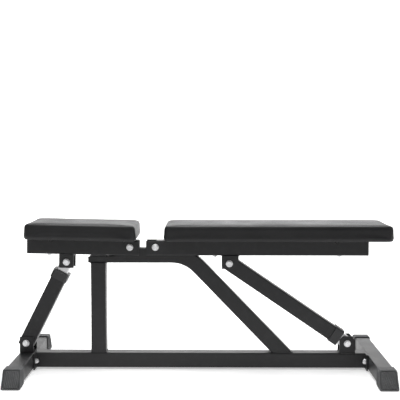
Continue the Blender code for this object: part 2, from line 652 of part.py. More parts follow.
def make_back_strut(back):
    top = (BACK_STRUT_TOP_X, BEAM_BOTTOM_Z - STRUT_PIVOT_DROP)
    foot = BACK_STRUT_FOOT
    length, stroke = strut_travel(top, BACK_PIVOT, BACK_TRAVEL, foot)
    angle = atan2(foot[1] - top[1], foot[0] - top[0])
    line = tilted(top, angle)
    swing = pivot_empty("back_strut_axis", top)
    swing.parent = back
    swing.matrix_parent_inverse = back.matrix_world.inverted()
    bpy.context.view_layer.update()
    mouth = length - BACK_MOUTH_FROM_FOOT
    tube_end = mouth - COLLAR_LIP - GAP
    tube = square_tube("back_strut_outer", line, -STRUT_NOSE_RADIUS, tube_end, TUBE, TUBE, WALL,
                       "frame_black", swing)
    mask_end(tube, line, STRUT_NOSE_RADIUS, TUBE, tube_end + TUBE, swing)
    drill(tube, along_y(*top), -TUBE, TUBE, M12 + BOLT_CLEARANCE, swing)
    make_collar("back_strut_collar", line, mouth, swing)
    pin_at = mouth - PIN_FROM_MOUTH
    make_pull_pin("back_pull_pin", line, pin_at, tube, swing)
    slide = pivot_empty("back_strut_slide_axis", foot)
    slide.parent = swing
    slide.matrix_parent_inverse = swing.matrix_world.inverted()
    bpy.context.view_layer.update()
    make_inner_tube("back_strut", tilted(foot, angle + pi), length - M12 - 0.006, length - pin_at,
                    stroke / (BACK_POSITIONS - 1), BACK_POSITIONS, slide)


def make_inner_tube(name, line, length, first_hole, pitch, count, body):
    """Zinc-plated tube that starts at its eye and carries a row of adjustment holes."""
    tube = square_tube(f"{name}_inner", line, -EYE_RADIUS, length, INNER_TUBE, INNER_TUBE, INNER_WALL,
                       "zinc", body)
    mask_end(tube, line, EYE_RADIUS, INNER_TUBE, length + TUBE, body)
    across = Line(line.start, (0, 1, 0), line.along, line.up)
    sleeve = M12 + 0.004
    holes = [(across, sleeve + GAP)]
    for index in range(count):
        centre = line.start + line.along * (first_hole + index * pitch)
        holes.append((Line(centre, (0, 1, 0), line.along, line.up), HOLE_RADIUS))
    drill_all(tube, holes, -TUBE, TUBE, body)
    half = INNER_TUBE / 2
    rings = [across.ring(-half, circle(sleeve - 0.001)), across.ring(-half + 0.001, circle(sleeve)),
             across.ring(half - 0.001, circle(sleeve)), across.ring(half, circle(sleeve - 0.001))]
    loft(f"{name}_spacer", rings, "zinc", body)


def make_seat_strut(root):
    flat_top = (SEAT_STRUT_TOP_X, BEAM_BOTTOM_Z - STRUT_PIVOT_DROP)
    top = turned(flat_top, SEAT_PIVOT, -SEAT_REST_TILT)
    foot = SEAT_STRUT_FOOT
    length, stroke = strut_travel(top, SEAT_PIVOT, -SEAT_TRAVEL, foot)
    angle = atan2(top[1] - foot[1], top[0] - foot[0])
    line = tilted(foot, angle)
    swing = pivot_empty("seat_strut_axis", foot)
    mouth = length - SEAT_MOUTH_FROM_TOP
    tube = square_tube("seat_strut_outer", line, -STRUT_TAIL, mouth - COLLAR_LIP - GAP, TUBE, TUBE, WALL,
                       "frame_black", swing)
    drill(tube, along_y(*foot), -TUBE, TUBE, M12 + BOLT_CLEARANCE, swing)
    make_collar("seat_strut_collar", line, mouth, swing)
    pin_at = mouth - PIN_FROM_MOUTH
    make_pull_pin("seat_pull_pin", line, pin_at, tube, swing)
    slide = pivot_empty("seat_strut_slide_axis", top)
    slide.parent = swing
    slide.matrix_parent_inverse = swing.matrix_world.inverted()
    bpy.context.view_layer.update()
    make_inner_tube("seat_strut", tilted(top, angle + pi), length - 0.060, length - pin_at,
                    stroke / (SEAT_POSITIONS - 1), SEAT_POSITIONS, slide)


# ---------------------------------------------------------------- assembly
def main():
    for leftover in list(bpy.data.objects):
        bpy.data.objects.remove(leftover, do_unlink=True)
    root = pivot_empty("frame_origin", (0.0, 0.0, 0.0))
    make_base(root)
    make_brace_and_post(root)
    make_floor_brackets(root)
    seat = pivot_empty("seat_axis", SEAT_PIVOT)
    make_seat(seat)
    seat.rotation_euler.y = SEAT_REST_TILT
    back = pivot_empty("back_axis", BACK_PIVOT)
    make_back(back)
    make_back_strut(back)
    make_seat_strut(root)
    bpy.context.view_layer.update()


main()
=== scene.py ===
"""Visual model of an adjustable weight bench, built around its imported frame."""

import json

import bpy
import numpy as np
from math import cos, pi, radians, sin
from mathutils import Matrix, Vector


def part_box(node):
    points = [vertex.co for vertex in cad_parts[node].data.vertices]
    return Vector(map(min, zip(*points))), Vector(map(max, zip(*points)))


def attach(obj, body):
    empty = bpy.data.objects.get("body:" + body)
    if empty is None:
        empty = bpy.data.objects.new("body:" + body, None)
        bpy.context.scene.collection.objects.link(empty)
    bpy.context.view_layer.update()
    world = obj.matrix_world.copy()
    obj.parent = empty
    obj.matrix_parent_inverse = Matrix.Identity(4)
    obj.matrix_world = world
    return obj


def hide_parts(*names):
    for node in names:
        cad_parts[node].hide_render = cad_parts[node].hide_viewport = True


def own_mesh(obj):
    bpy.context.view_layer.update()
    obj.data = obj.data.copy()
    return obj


bl_info = {
    "name": "Weight bench looks",
    "version": (1, 0, 0),
    "blender": (4, 5, 0),
    "location": "3D View > Sidebar > Weight bench",
    "description": "Upholstery, fasteners, rubber feet, welds and finishes for an adjustable bench",
    "category": "Object",
}

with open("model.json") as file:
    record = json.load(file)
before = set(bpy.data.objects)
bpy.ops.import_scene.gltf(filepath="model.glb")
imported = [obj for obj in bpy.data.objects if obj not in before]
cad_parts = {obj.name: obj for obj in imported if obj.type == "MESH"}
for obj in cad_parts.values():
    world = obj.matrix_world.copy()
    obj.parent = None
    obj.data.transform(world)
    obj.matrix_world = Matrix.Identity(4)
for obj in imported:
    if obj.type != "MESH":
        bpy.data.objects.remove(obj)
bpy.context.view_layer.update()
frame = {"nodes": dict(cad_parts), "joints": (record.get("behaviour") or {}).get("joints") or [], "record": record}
TAU = 2 * pi


# ---------------------------------------------------------------- settings
class BenchSizes(bpy.types.PropertyGroup):
    """Sizes of the soft, rubber and hardware pieces."""

    pad_voxel: bpy.props.FloatProperty(
        name="Pad mesh size", description="Edge length of the even mesh the stuffing works on",
        default=0.0045, min=0.003, subtype="DISTANCE", unit="LENGTH")
    pad_slack: bpy.props.FloatProperty(
        name="Pad slack", description="How much smaller the pad starts, before its stuffing swells it",
        default=0.0006, min=0.0, subtype="DISTANCE", unit="LENGTH")
    pad_swell: bpy.props.FloatProperty(
        name="Pad swell", description="The furthest the stuffing may push the cover out",
        default=0.0022, min=0.0, subtype="DISTANCE", unit="LENGTH")
    pad_corner: bpy.props.FloatProperty(
        name="Pad corner", description="Plan radius of the pad corners",
        default=0.018, min=0.005, subtype="DISTANCE", unit="LENGTH")
    pad_edge: bpy.props.FloatProperty(
        name="Pad edge", description="Rounding along the top edge of the pads",
        default=0.0085, min=0.002, subtype="DISTANCE", unit="LENGTH")
    hem_inset: bpy.props.FloatProperty(
        name="Hem", description="How far the cover wraps under the board before the dust cloth",
        default=0.020, min=0.005, subtype="DISTANCE", unit="LENGTH")
    staple_pitch: bpy.props.FloatProperty(
        name="Staple pitch", description="Distance between the staples that hold the cover under the board",
        default=0.034, min=0.01, subtype="DISTANCE", unit="LENGTH")
    rib_pitch: bpy.props.FloatProperty(
        name="Rib pitch", description="Distance between the moulded ribs of the foot caps",
        default=0.0066, min=0.002, subtype="DISTANCE", unit="LENGTH")
    rib_depth: bpy.props.FloatProperty(
        name="Rib depth", description="Depth of the grooves between the ribs of the foot caps",
        default=0.0022, min=0.0, subtype="DISTANCE", unit="LENGTH")
    weld_radius: bpy.props.FloatProperty(
        name="Weld radius", description="Radius of the weld beads",
        default=0.0023, min=0.0005, subtype="DISTANCE", unit="LENGTH")
    weld_ripple: bpy.props.FloatProperty(
        name="Weld ripple", description="Distance between the ripples of a weld bead",
        default=0.0042, min=0.001, subtype="DISTANCE", unit="LENGTH")


class BenchColours(bpy.types.PropertyGroup):
    """Base colours of the finishes."""

    powder: bpy.props.FloatVectorProperty(
        name="Powder coat", description="Baked paint of the frame tubes and brackets",
        default=(0.012, 0.012, 0.0128), subtype="COLOR", min=0.0, max=1.0)
    vinyl: bpy.props.FloatVectorProperty(
        name="Vinyl", description="Upholstery of both pads",
        default=(0.007, 0.007, 0.0077), subtype="COLOR", min=0.0, max=1.0)
    rubber: bpy.props.FloatVectorProperty(
        name="Rubber", description="Foot caps and the seat's rest bumper",
        default=(0.062, 0.063, 0.065), subtype="COLOR", min=0.0, max=1.0)
    plastic: bpy.props.FloatVectorProperty(
        name="Plastic", description="Strut collars, tube plugs and pin knobs",
        default=(0.018, 0.018, 0.019), subtype="COLOR", min=0.0, max=1.0)
    zinc: bpy.props.FloatVectorProperty(
        name="Zinc", description="Plated bolts, nuts, barrels and sliding tubes",
        default=(0.86, 0.86, 0.87), subtype="COLOR", min=0.0, max=1.0)


def sizes():
    return bpy.context.scene.bench_sizes


def colours():
    return bpy.context.scene.bench_colours


# ---------------------------------------------------------------- materials
class Finish:
    """A Principled material with short calls for the procedural nodes that feed it."""

    def __init__(self, name, colour, roughness, metallic=0.0):
        self.material = bpy.data.materials.new(name)
        self.material.use_nodes = True
        self.tree = self.material.node_tree
        self.shader = self.tree.nodes["Principled BSDF"]
        self.place = self.add("ShaderNodeTexCoord").outputs["Object"]
        self.set("Base Color", (*colour, 1.0))
        self.set("Roughness", roughness)
        self.set("Metallic", metallic)

    def add(self, kind, **options):
        node = self.tree.nodes.new(kind)
        for key, value in options.items():
            setattr(node, key, value)
        return node

    def set(self, socket, value):
        self.shader.inputs[socket].default_value = value

    def link(self, source, target):
        self.tree.links.new(source, target)

    def turned(self, rotation=(0, 0, 0), scale=(1, 1, 1)):
        """Object coordinates, turned and stretched."""
        node = self.add("ShaderNodeMapping")
        node.inputs["Rotation"].default_value = rotation
        node.inputs["Scale"].default_value = scale
        self.link(self.place, node.inputs["Vector"])
        return node.outputs["Vector"]

    def noise(self, scale, detail=2.0, place=None):
        node = self.add("ShaderNodeTexNoise")
        node.inputs["Scale"].default_value = scale
        node.inputs["Detail"].default_value = detail
        self.link(place or self.place, node.inputs["Vector"])
        return node.outputs["Fac"]

    def cells(self, scale, feature="DISTANCE_TO_EDGE"):
        node = self.add("ShaderNodeTexVoronoi", feature=feature)
        node.inputs["Scale"].default_value = scale
        self.link(self.place, node.inputs["Vector"])
        return node.outputs["Distance"]

    def spread(self, source, low, high, to_low=0.0, to_high=1.0):
        """Source from low..high to to_low..to_high, clamped."""
        node = self.add("ShaderNodeMapRange")
        values = (low, high, to_low, to_high)
        for key, value in zip(("From Min", "From Max", "To Min", "To Max"), values):
            node.inputs[key].default_value = value
        self.link(source, node.inputs["Value"])
        return node.outputs["Result"]

    def mix(self, amount, first, second):
        """A colour between two; each is a colour or a socket."""
        node = self.add("ShaderNodeMix", data_type="RGBA")
        for index, value in ((6, first), (7, second)):
            if isinstance(value, bpy.types.NodeSocket):
                self.link(value, node.inputs[index])
            else:
                node.inputs[index].default_value = (*value, 1.0)
        self.link(amount, node.inputs[0])
        return node.outputs[2]

    def bump(self, height, strength, distance, under=None):
        node = self.add("ShaderNodeBump")
        node.inputs["Strength"].default_value = strength
        node.inputs["Distance"].default_value = distance
        self.link(height, node.inputs["Height"])
        if under:
            self.link(under, node.inputs["Normal"])
        return node.outputs["Normal"]

    def feed(self, **sockets):
        for name, source in sockets.items():
            self.link(source, self.shader.inputs[name.replace("_", " ")])
        return self.material


def shade(colour, factor):
    return tuple(min(1.0, channel * factor) for channel in colour)


def powder_coat():
    base = colours().powder
    f = Finish("powder_coat", base, 0.4)
    f.set("Specular IOR Level", 0.36)
    orange_peel = f.noise(520.0, 2.0)
    grit = f.noise(2300.0, 1.0)
    cloud = f.noise(7.0, 4.0)
    dust = f.spread(f.noise(38.0, 6.0), 0.50, 0.78)
    paint = f.mix(f.spread(cloud, 0.3, 0.7), shade(base, 0.88), shade(base, 1.14))
    colour = f.mix(dust, paint, shade(base, 1.5))
    normal = f.bump(grit, 0.10, 0.0001, f.bump(orange_peel, 0.22, 0.00035))
    return f.feed(Base_Color=colour, Roughness=f.spread(cloud, 0.3, 0.7, 0.36, 0.47), Normal=normal)


def vinyl():
    base = colours().vinyl
    f = Finish("pad_vinyl", base, 0.42)
    f.set("Specular IOR Level", 0.34)
    pebbles = f.spread(f.cells(620.0), 0.0, 0.32)
    pores = f.noise(1900.0, 2.0)
    hide = f.noise(9.0, 5.0)
    colour = f.mix(f.spread(hide, 0.3, 0.75), shade(base, 0.85), shade(base, 1.35))
    normal = f.bump(pores, 0.10, 0.0001, f.bump(pebbles, 0.34, 0.00030))
    return f.feed(Base_Color=colour, Roughness=f.spread(hide, 0.3, 0.7, 0.37, 0.50), Normal=normal)


def rubber():
    base = colours().rubber
    f = Finish("moulded_rubber", base, 0.66)
    skin = f.noise(900.0, 3.0)
    bloom = f.noise(22.0, 5.0)
    colour = f.mix(f.spread(bloom, 0.35, 0.75), shade(base, 0.85), shade(base, 1.5))
    return f.feed(Base_Color=colour, Roughness=f.spread(bloom, 0.3, 0.7, 0.58, 0.76),
                  Normal=f.bump(skin, 0.22, 0.0003))


def plastic():
    base = colours().plastic
    f = Finish("moulded_plastic", base, 0.45)
    grain = f.cells(1500.0, "F1")
    sheen = f.noise(30.0, 3.0)
    return f.feed(Base_Color=f.mix(f.spread(sheen, 0.3, 0.7), shade(base, 0.85), shade(base, 1.3)),
                  Roughness=f.spread(sheen, 0.3, 0.7, 0.38, 0.52), Normal=f.bump(grain, 0.25, 0.0002))


def zinc_plate(name="zinc_plate", slope=None):
    """Bright plating; with a slope it is duller, with fine draw lines along that angle in the XZ plane."""
    base = shade(colours().zinc, 1.0 if slope is None else 0.74)
    f = Finish(name, base, 0.3, 1.0)
    patches = f.noise(70.0, 4.0)
    if slope is None:
        lines = f.noise(1300.0, 2.0)
    else:
        lines = f.noise(1.0, 3.0, f.turned((0, slope, 0), (14.0, 900.0, 900.0)))
    colour = f.mix(f.spread(patches, 0.35, 0.7), shade(base, 0.86), tuple(base))
    return f.feed(Base_Color=colour, Roughness=f.spread(lines, 0.3, 0.7, 0.22, 0.42),
                  Normal=f.bump(lines, 0.12, 0.0001))


def weld_steel():
    base = shade(colours().powder, 0.9)
    f = Finish("coated_weld", base, 0.42)
    heat = f.noise(260.0, 3.0)
    return f.feed(Base_Color=f.mix(f.spread(heat, 0.3, 0.7), base, shade(base, 1.35)),
                  Roughness=f.spread(heat, 0.3, 0.7, 0.36, 0.5), Normal=f.bump(heat, 0.2, 0.0003))


def dust_cloth():
    f = Finish("dust_cloth", (0.012, 0.012, 0.013), 0.9)
    fibres = f.noise(1.0, 4.0, f.turned((0, 0, 0.5), (260.0, 1500.0, 400.0)))
    cross = f.noise(1.0, 4.0, f.turned((0, 0, -0.9), (300.0, 1400.0, 400.0)))
    both = f.add("ShaderNodeMath", operation="MAXIMUM")
    f.link(fibres, both.inputs[0])
    f.link(cross, both.inputs[1])
    web = both.outputs[0]
    return f.feed(Base_Color=f.mix(f.spread(web, 0.45, 0.75), (0.010, 0.010, 0.011), (0.045, 0.045, 0.047)),
                  Roughness=f.spread(web, 0.3, 0.8, 0.95, 0.8), Normal=f.bump(web, 0.5, 0.0004))


def studio_white():
    f = Finish("studio_white", (0.88, 0.88, 0.88), 0.9)
    f.set("Emission Color", (1.0, 1.0, 1.0, 1.0))
    f.set("Emission Strength", 0.42)
    return f.material


_made = {}


def finish(maker, *arguments):
    """Each material is made once."""
    key = (maker.__name__, *arguments)
    if key not in _made:
        _made[key] = maker(*arguments)
    return _made[key]


# ---------------------------------------------------------------- surfaces
def quads(rows, columns, start=0):
    """Faces of a grid of rows x columns points that is closed round each row."""
    i, j = np.mgrid[0:rows - 1, 0:columns]
    k = (j + 1) % columns
    return start + np.stack([i * columns + j, i * columns + k,
                             (i + 1) * columns + k, (i + 1) * columns + j], -1).reshape(-1, 4)


def capped(rings):
    """Points and faces of a closed skin through rings, its two ends closed by fans to their centres."""
    rows, columns = rings.shape[:2]
    points = np.concatenate([rings.reshape(-1, 3), rings[:1].mean(1), rings[-1:].mean(1)])
    faces = quads(rows, columns).tolist()
    ring = np.arange(columns)
    after = np.roll(ring, -1)
    first, last, base = rows * columns, rows * columns + 1, (rows - 1) * columns
    faces += np.stack([after, ring, np.full(columns, first)], 1).tolist()
    faces += np.stack([base + ring, base + after, np.full(columns, last)], 1).tolist()
    return points, faces


def facing_out(points, faces):
    """The faces, all turned over if they enclose a negative volume."""
    volume = 0.0
    for size in (3, 4):
        some = np.array([face for face in faces if len(face) == size], int)
        for step in range(1, size - 1) if len(some) else ():
            a, b, c = points[some[:, 0]], points[some[:, step]], points[some[:, step + 1]]
            volume += float(np.einsum("ij,ij->", a, np.cross(b, c)))
    return faces if volume > 0 else [face[::-1] for face in faces]


def piece(name, shells, material, smooth_angle=40.0):
    """One object from a list of (points, faces), each shell facing out."""
    points, faces, start = [], [], 0
    for shell_points, shell_faces in shells:
        points.append(shell_points)
        faces += [[start + index for index in face] for face in facing_out(shell_points, shell_faces)]
        start += len(shell_points)
    mesh = bpy.data.meshes.new(name)
    mesh.from_pydata(np.concatenate(points).tolist(), [], faces)
    mesh.materials.append(material)
    mesh.validate()
    mesh.shade_smooth()
    mesh.set_sharp_from_angle(angle=radians(smooth_angle))
    made = bpy.data.objects.new(name, mesh)
    bpy.context.scene.collection.objects.link(made)
    return made


def rounded_outline(half_u, half_v, radius, per_side=8, per_corner=6):
    """Rounded rectangle as u, v arrays, anticlockwise, with evenly divided straight sides."""
    parts = []
    for turn, (su, sv) in enumerate(((1, 1), (-1, 1), (-1, -1), (1, -1))):
        angle = (turn + np.linspace(0, 1, per_corner)) * pi / 2
        parts.append(np.stack([su * (half_u - radius) + radius * np.cos(angle),
                               sv * (half_v - radius) + radius * np.sin(angle)], 1))
    outline = []
    for here, following in zip(parts, parts[1:] + parts[:1]):
        outline.append(here)
        share = np.linspace(0, 1, per_side + 2)[1:-1, None]
        outline.append(here[-1] * (1 - share) + following[0] * share)
    return np.concatenate(outline)


def box_of(node):
    low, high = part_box(node)
    return np.array(low), np.array(high)


# ---------------------------------------------------------------- pads
PADS = {
    "seat_pad": {"body": "seat", "x": (-0.580, -0.212), "joint": "seat_tilt", "lean": radians(1.1)},
    "back_pad": {"body": "backrest", "x": (-0.1245, 0.6240), "joint": "back_tilt", "lean": 0.0},
}
PAD_HALF_WIDTH = 0.120
PAD_BASE_Z, PAD_TOP_Z = (float(corner[2]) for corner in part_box("back_pad_cover"))
EDGE_REACH = 0.013          # how far the shaped edge reaches in from the pad's sides and down from its top
EDGE_POWER = 5.0            # 2 is a quarter circle, more is a tighter edge
SIDE_BAND = 0.030           # how far in from its sides the cover is pleated and drawn in
CROWN = 0.0008              # rise of the pad's middle
DRAW_IN = 0.0024            # how far the cover is pulled in where it turns under the board
TOP_DRAW_IN = 0.0026        # and at its top edge
PLEAT = 0.0010              # depth of the pleats at the corners


def leaned(points, pad):
    """Points turned about the pad's hinge by the lean it has at rest, nose up."""
    joint = next(j for j in frame["joints"] if j["name"] == pad["joint"])
    x0, _, z0 = joint["pos_m"]
    c, s = cos(pad["lean"]), sin(pad["lean"])
    x, y, z = points[..., 0] - x0, points[..., 1], points[..., 2] - z0
    return np.stack([x0 + x * c + z * s, y, z0 - x * s + z * c], -1)


def pad_rings(pad):
    """Rings from the middle of the underside, out to the side, up it, round the top edge and in
    to the middle of the top. The outline's inset and height are functions of the ring."""
    slack, edge, corner = sizes().pad_slack, sizes().pad_edge, sizes().pad_corner
    low, high = pad["x"]
    half_x, half_y = (high - low) / 2 - slack, PAD_HALF_WIDTH - slack
    base, top = PAD_BASE_Z + 0.0008, PAD_TOP_Z - slack
    turn = np.linspace(0, pi / 2, 6)
    inset = np.concatenate([[0.10, 0.05, 0.02, 0.004, 0.0015, 0.0, 0.0, 0.0, 0.0], edge * (1 - np.cos(turn)),
                            [0.03, 0.06, 0.10]])
    wall = np.linspace(base + 0.010, top - edge, 4)[:3]
    height = np.concatenate([[base] * 4, [base + 0.0008, base + 0.003], wall,
                             top - edge + edge * np.sin(turn), [top + 0.001, top + 0.0015, top + 0.0015]])
    rings = []
    for d, z in zip(inset, height):
        outline = rounded_outline(half_x - d, half_y - d, max(corner - d, 0.004), 24, 7)
        outline[:, 0] += (low + high) / 2
        rings.append(np.column_stack([outline, np.full(len(outline), z)]))
    return np.array(rings)


def coordinates(mesh):
    flat = np.empty(len(mesh.vertices) * 3)
    mesh.vertices.foreach_get("co", flat)
    return flat.reshape(-1, 3)


def set_coordinates(mesh, points):
    mesh.vertices.foreach_set("co", np.ascontiguousarray(points).ravel())
    mesh.update()


def replace_mesh(made):
    """The object's modifiers, worked into its mesh."""
    bpy.context.view_layer.update()
    worked = bpy.data.meshes.new_from_object(made.evaluated_get(bpy.context.evaluated_depsgraph_get()))
    made.modifiers.clear()
    old, made.data = made.data, worked
    bpy.data.meshes.remove(old)


def stuff(made):
    """Swells the cover with Cloth pressure while its underside stays fixed to the board."""
    even = made.modifiers.new("even_mesh", "REMESH")
    even.mode = "VOXEL"
    even.voxel_size = sizes().pad_voxel
    replace_mesh(made)
    before = coordinates(made.data)
    held = made.vertex_groups.new(name="stapled_to_board")
    held.add(np.flatnonzero(before[:, 2] < PAD_BASE_Z + 0.004).tolist(), 1.0, "REPLACE")
    cloth = made.modifiers.new("stuffing", "CLOTH")
    cloth.settings.use_pressure = True
    cloth.settings.uniform_pressure_force = 4.0
    cloth.settings.vertex_group_mass = held.name
    cloth.settings.effector_weights.gravity = 0.0
    cloth.settings.quality = 5
    cloth.point_cache.frame_start, cloth.point_cache.frame_end = 1, 20
    scene = bpy.context.scene
    for number in range(1, 21):
        scene.frame_set(number)
    worked = made.evaluated_get(bpy.context.evaluated_depsgraph_get())
    after = coordinates(worked.data)
    made.modifiers.clear()
    scene.frame_set(1)
    move = after - before
    length = np.linalg.norm(move, axis=1, keepdims=True)
    capped_length = sizes().pad_swell * np.tanh(length / sizes().pad_swell)
    set_coordinates(made.data, before + move * capped_length / np.maximum(length, 1e-9))


def fitted(points, pad):
    """The stuffed pad scaled about its middle, so that its outermost points reach the pad's full size."""
    low, high = pad["x"]
    for axis, near, far in ((0, low, high), (1, -PAD_HALF_WIDTH, PAD_HALF_WIDTH)):
        first, last = points[:, axis].min(), points[:, axis].max()
        points[:, axis] = near + (points[:, axis] - first) * (far - near) / (last - first)
    return points


def crisp_edge(points, pad):
    """Tightens the top edge along the long sides: in the band near it, with s the way out and h the way up
    from the band's inner corner, each point's distance from that corner grows by that of a superellipse over
    that of a circle. The short ends stay rounder."""
    low, high = pad["x"]
    middle = np.array([(low + high) / 2, 0.0])
    corner = sizes().pad_corner
    core = np.array([(high - low) / 2, PAD_HALF_WIDTH]) - corner
    away = np.sign(points[:, :2] - middle) * np.clip(np.abs(points[:, :2] - middle) - core, 0, None)
    reach = np.linalg.norm(away, axis=1)
    unit = away / np.maximum(reach, 1e-9)[:, None]
    top = points[:, 2].max()
    s = np.clip(reach - (corner - EDGE_REACH), 0, None)
    h = np.clip(points[:, 2] - (top - EDGE_REACH), 0, None)
    angle = np.arctan2(h, s)
    stretch = (np.cos(angle) ** EDGE_POWER + np.sin(angle) ** EDGE_POWER) ** (-1 / EDGE_POWER)
    grow = np.where((s > 0) & (h > 0), stretch - 1, 0) * np.abs(unit[:, 1]) ** 0.5
    points[:, :2] += unit * (s * grow)[:, None]
    points[:, 2] += h * grow
    return points


def tailor(points, pad):
    """Upholstery detail on a stuffed pad: the top is crowned between its edges, the cover is drawn in where
    it turns under the board, and short pleats fan out from each corner's lower edge."""
    low, high = pad["x"]
    middle, half_x = (low + high) / 2, (high - low) / 2
    points = crisp_edge(fitted(points, pad), pad)
    u, v = (points[:, 0] - middle) / half_x, points[:, 1] / PAD_HALF_WIDTH
    rise = np.clip((points[:, 2] - PAD_BASE_Z) / (PAD_TOP_Z - PAD_BASE_Z), 0, 1)
    crown = CROWN * (1 - np.clip(np.abs(u), 0, 1) ** 6) * (1 - np.clip(np.abs(v), 0, 1) ** 6)
    points[:, 2] += crown * np.clip(rise * 2 - 1, 0, 1)
    past_x = np.abs(u) * half_x - half_x + SIDE_BAND
    past_y = np.abs(v) * PAD_HALF_WIDTH - PAD_HALF_WIDTH + SIDE_BAND
    outward = np.stack([np.sign(u) * np.clip(past_x, 0, None), np.sign(v) * np.clip(past_y, 0, None)], 1)
    reach = np.linalg.norm(outward, axis=1)
    unit = outward / np.maximum(reach, 1e-9)[:, None]
    side = np.clip((reach - 0.024) / 0.005, 0, 1)
    draw = DRAW_IN * np.exp(-((rise - 0.02) / 0.14) ** 2) * side
    draw += TOP_DRAW_IN * np.clip((rise - 0.76) / 0.24, 0, 1) ** 1.5 * side
    bearing = np.arctan2(np.abs(outward[:, 1]), np.abs(outward[:, 0]))
    at_corner = np.clip(1 - np.abs(bearing - pi / 4) / (pi / 4), 0, 1) * side
    pleat = PLEAT * at_corner * np.abs(np.sin(bearing * 11)) * np.clip(1.05 - rise * 1.5, 0, 1)
    along = points[:, 0] * 31 + points[:, 1] * 47
    ease = 0.00035 * np.sin(along) * np.sin(points[:, 0] * 83 - points[:, 1] * 19 + 1.3) * side
    points[:, :2] -= unit * (draw + pleat + ease)[:, None]
    return points


def make_pad(name):
    pad = PADS[name]
    made = piece(name + "_upholstery", [capped(pad_rings(pad))], finish(vinyl), 180.0)
    stuff(made)
    made.vertex_groups.clear()
    finer = made.modifiers.new("finer", "SUBSURF")
    finer.levels = finer.render_levels = 1
    replace_mesh(made)
    set_coordinates(made.data, leaned(tailor(coordinates(made.data), pad), pad))
    made.data.shade_smooth()
    made.data.materials.clear()
    made.data.materials.append(finish(vinyl))
    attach(made, pad["body"])
    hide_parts(name + "_cover", name + "_foam", name + "_board")
    return made


def make_underside(name, rear_gap=0.0):
    """Dust cloth over the hem, hemmed by a rolled edge, and the staples that hold it."""
    pad, hem = PADS[name], sizes().hem_inset
    low, high = pad["x"][0] + hem, pad["x"][1] - hem - rear_gap
    middle, half_x, half_y = (low + high) / 2, (high - low) / 2, PAD_HALF_WIDTH - hem
    rings = []
    for inset, z in ((0.06, 0.0011), (0.003, 0.0011), (0.0, 0.0009), (0.0, 0.0005), (0.003, 0.0004),
                     (0.006, 0.0006), (0.06, 0.0006)):
        outline = rounded_outline(half_x - inset, half_y - inset, max(0.012 - inset, 0.003), 30, 6)
        outline[:, 0] += middle
        rings.append(np.column_stack([outline, np.full(len(outline), PAD_BASE_Z + z)]))
    points, faces = capped(np.array(rings))
    cloth = piece(name + "_dust_cloth", [(leaned(points, pad), faces)], finish(dust_cloth))
    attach(cloth, pad["body"])
    pitch, shells = sizes().staple_pitch, []
    for side, length, place in ((0, 2 * half_x, half_y - 0.004), (1, 2 * half_y, half_x - 0.004)):
        count = int(length / pitch)
        for index in range(count):
            along = (index + 0.5) / count * length - length / 2
            for sign in (-1, 1):
                centre = (middle + along, sign * place) if side == 0 else (middle + sign * place, along)
                shells.append(staple(centre, side == 0, PAD_BASE_Z + 0.0002))
    shells = [(leaned(points, pad), faces) for points, faces in shells]
    staples = piece(name + "_staples", shells, finish(zinc_plate))
    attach(staples, pad["body"])


def staple(centre, lengthwise, z):
    """The flat crown of a staple: a thin bar 10 mm long with its ends turned up into the cloth."""
    long, thin = 0.005, 0.0005
    rings = []
    for at, lift in ((-1.0, 0.0006), (-0.94, 0.0001), (-0.8, 0.0), (0.8, 0.0), (0.94, 0.0001), (1.0, 0.0006)):
        square = np.array([(-1, -1), (1, -1), (1, 1), (-1, 1)]) * (thin, 0.00015)
        ring = np.column_stack([np.full(4, at * long), square[:, 0], square[:, 1] + z + lift])
        rings.append(ring if lengthwise else ring[:, [1, 0, 2]])
    points, faces = capped(np.array(rings))
    return points + (*centre, 0.0), faces


# ---------------------------------------------------------------- hardware
SHANK_RADII = {"stabilizer": 0.005, "pad_bolt": 0.004}
PIVOT_SHANK_RADIUS = 0.006
WASHER = 0.0015             # thickness
WASHER_RIM = 1.9            # of the shank's radius, as are the four below
HEXAGON = 1.5               # half its width across flats
HEAD_HEIGHT = 1.2
NUT_HEIGHT = 1.35
NUT_ROOM = 2.1              # from the washer to the end of the shank


def turned_rings(profile, centre, axis, columns=48):
    """A turned or faceted part: at each (distance, radius, flat, lobes) of the profile the radius at an angle
    is the smaller of the circle's and, where flat is set, the hexagon's. Lobes add a wave round a knob."""
    angle = np.arange(columns) * TAU / columns
    off = (angle + pi / 6) % (pi / 3) - pi / 6
    rows = []
    for distance, radius, flat, lobes in profile:
        around = np.full(columns, radius)
        if flat:
            around = np.minimum(around, flat / np.cos(off))
        around = around * (1 + lobes * np.cos(6 * angle))
        rows.append((around * np.cos(angle), around * np.sin(angle), np.full(columns, distance)))
    across = np.array(rows).transpose(0, 2, 1)
    order = {"x": (2, 0, 1), "y": (0, 2, 1), "z": (0, 1, 2)}[axis]
    return across[..., order] + np.array(centre)


def head_profile(start, out, radius):
    """From the seat outwards: a washer with a rounded rim, then a chamfered hexagon head."""
    w, flat, tall, rim = WASHER, radius * HEXAGON, radius * HEAD_HEIGHT, radius * WASHER_RIM
    steps = [(0.0, rim - 0.0003, 0), (0.0003, rim, 0), (w - 0.0003, rim, 0), (w, rim - 0.0004, 0),
             (w, flat * 0.98, 0), (w + 0.0002, flat * 1.02, 0), (w + 0.0004, flat * 1.16, flat),
             (w + tall * 0.72, flat * 1.16, flat), (w + tall * 0.9, flat * 1.05, flat),
             (w + tall, flat * 0.94, 0), (w + tall, flat * 0.62, 0), (w + tall * 0.9, flat * 0.55, 0)]
    return [(start + out * d, r, f, 0.0) for d, r, f in steps]


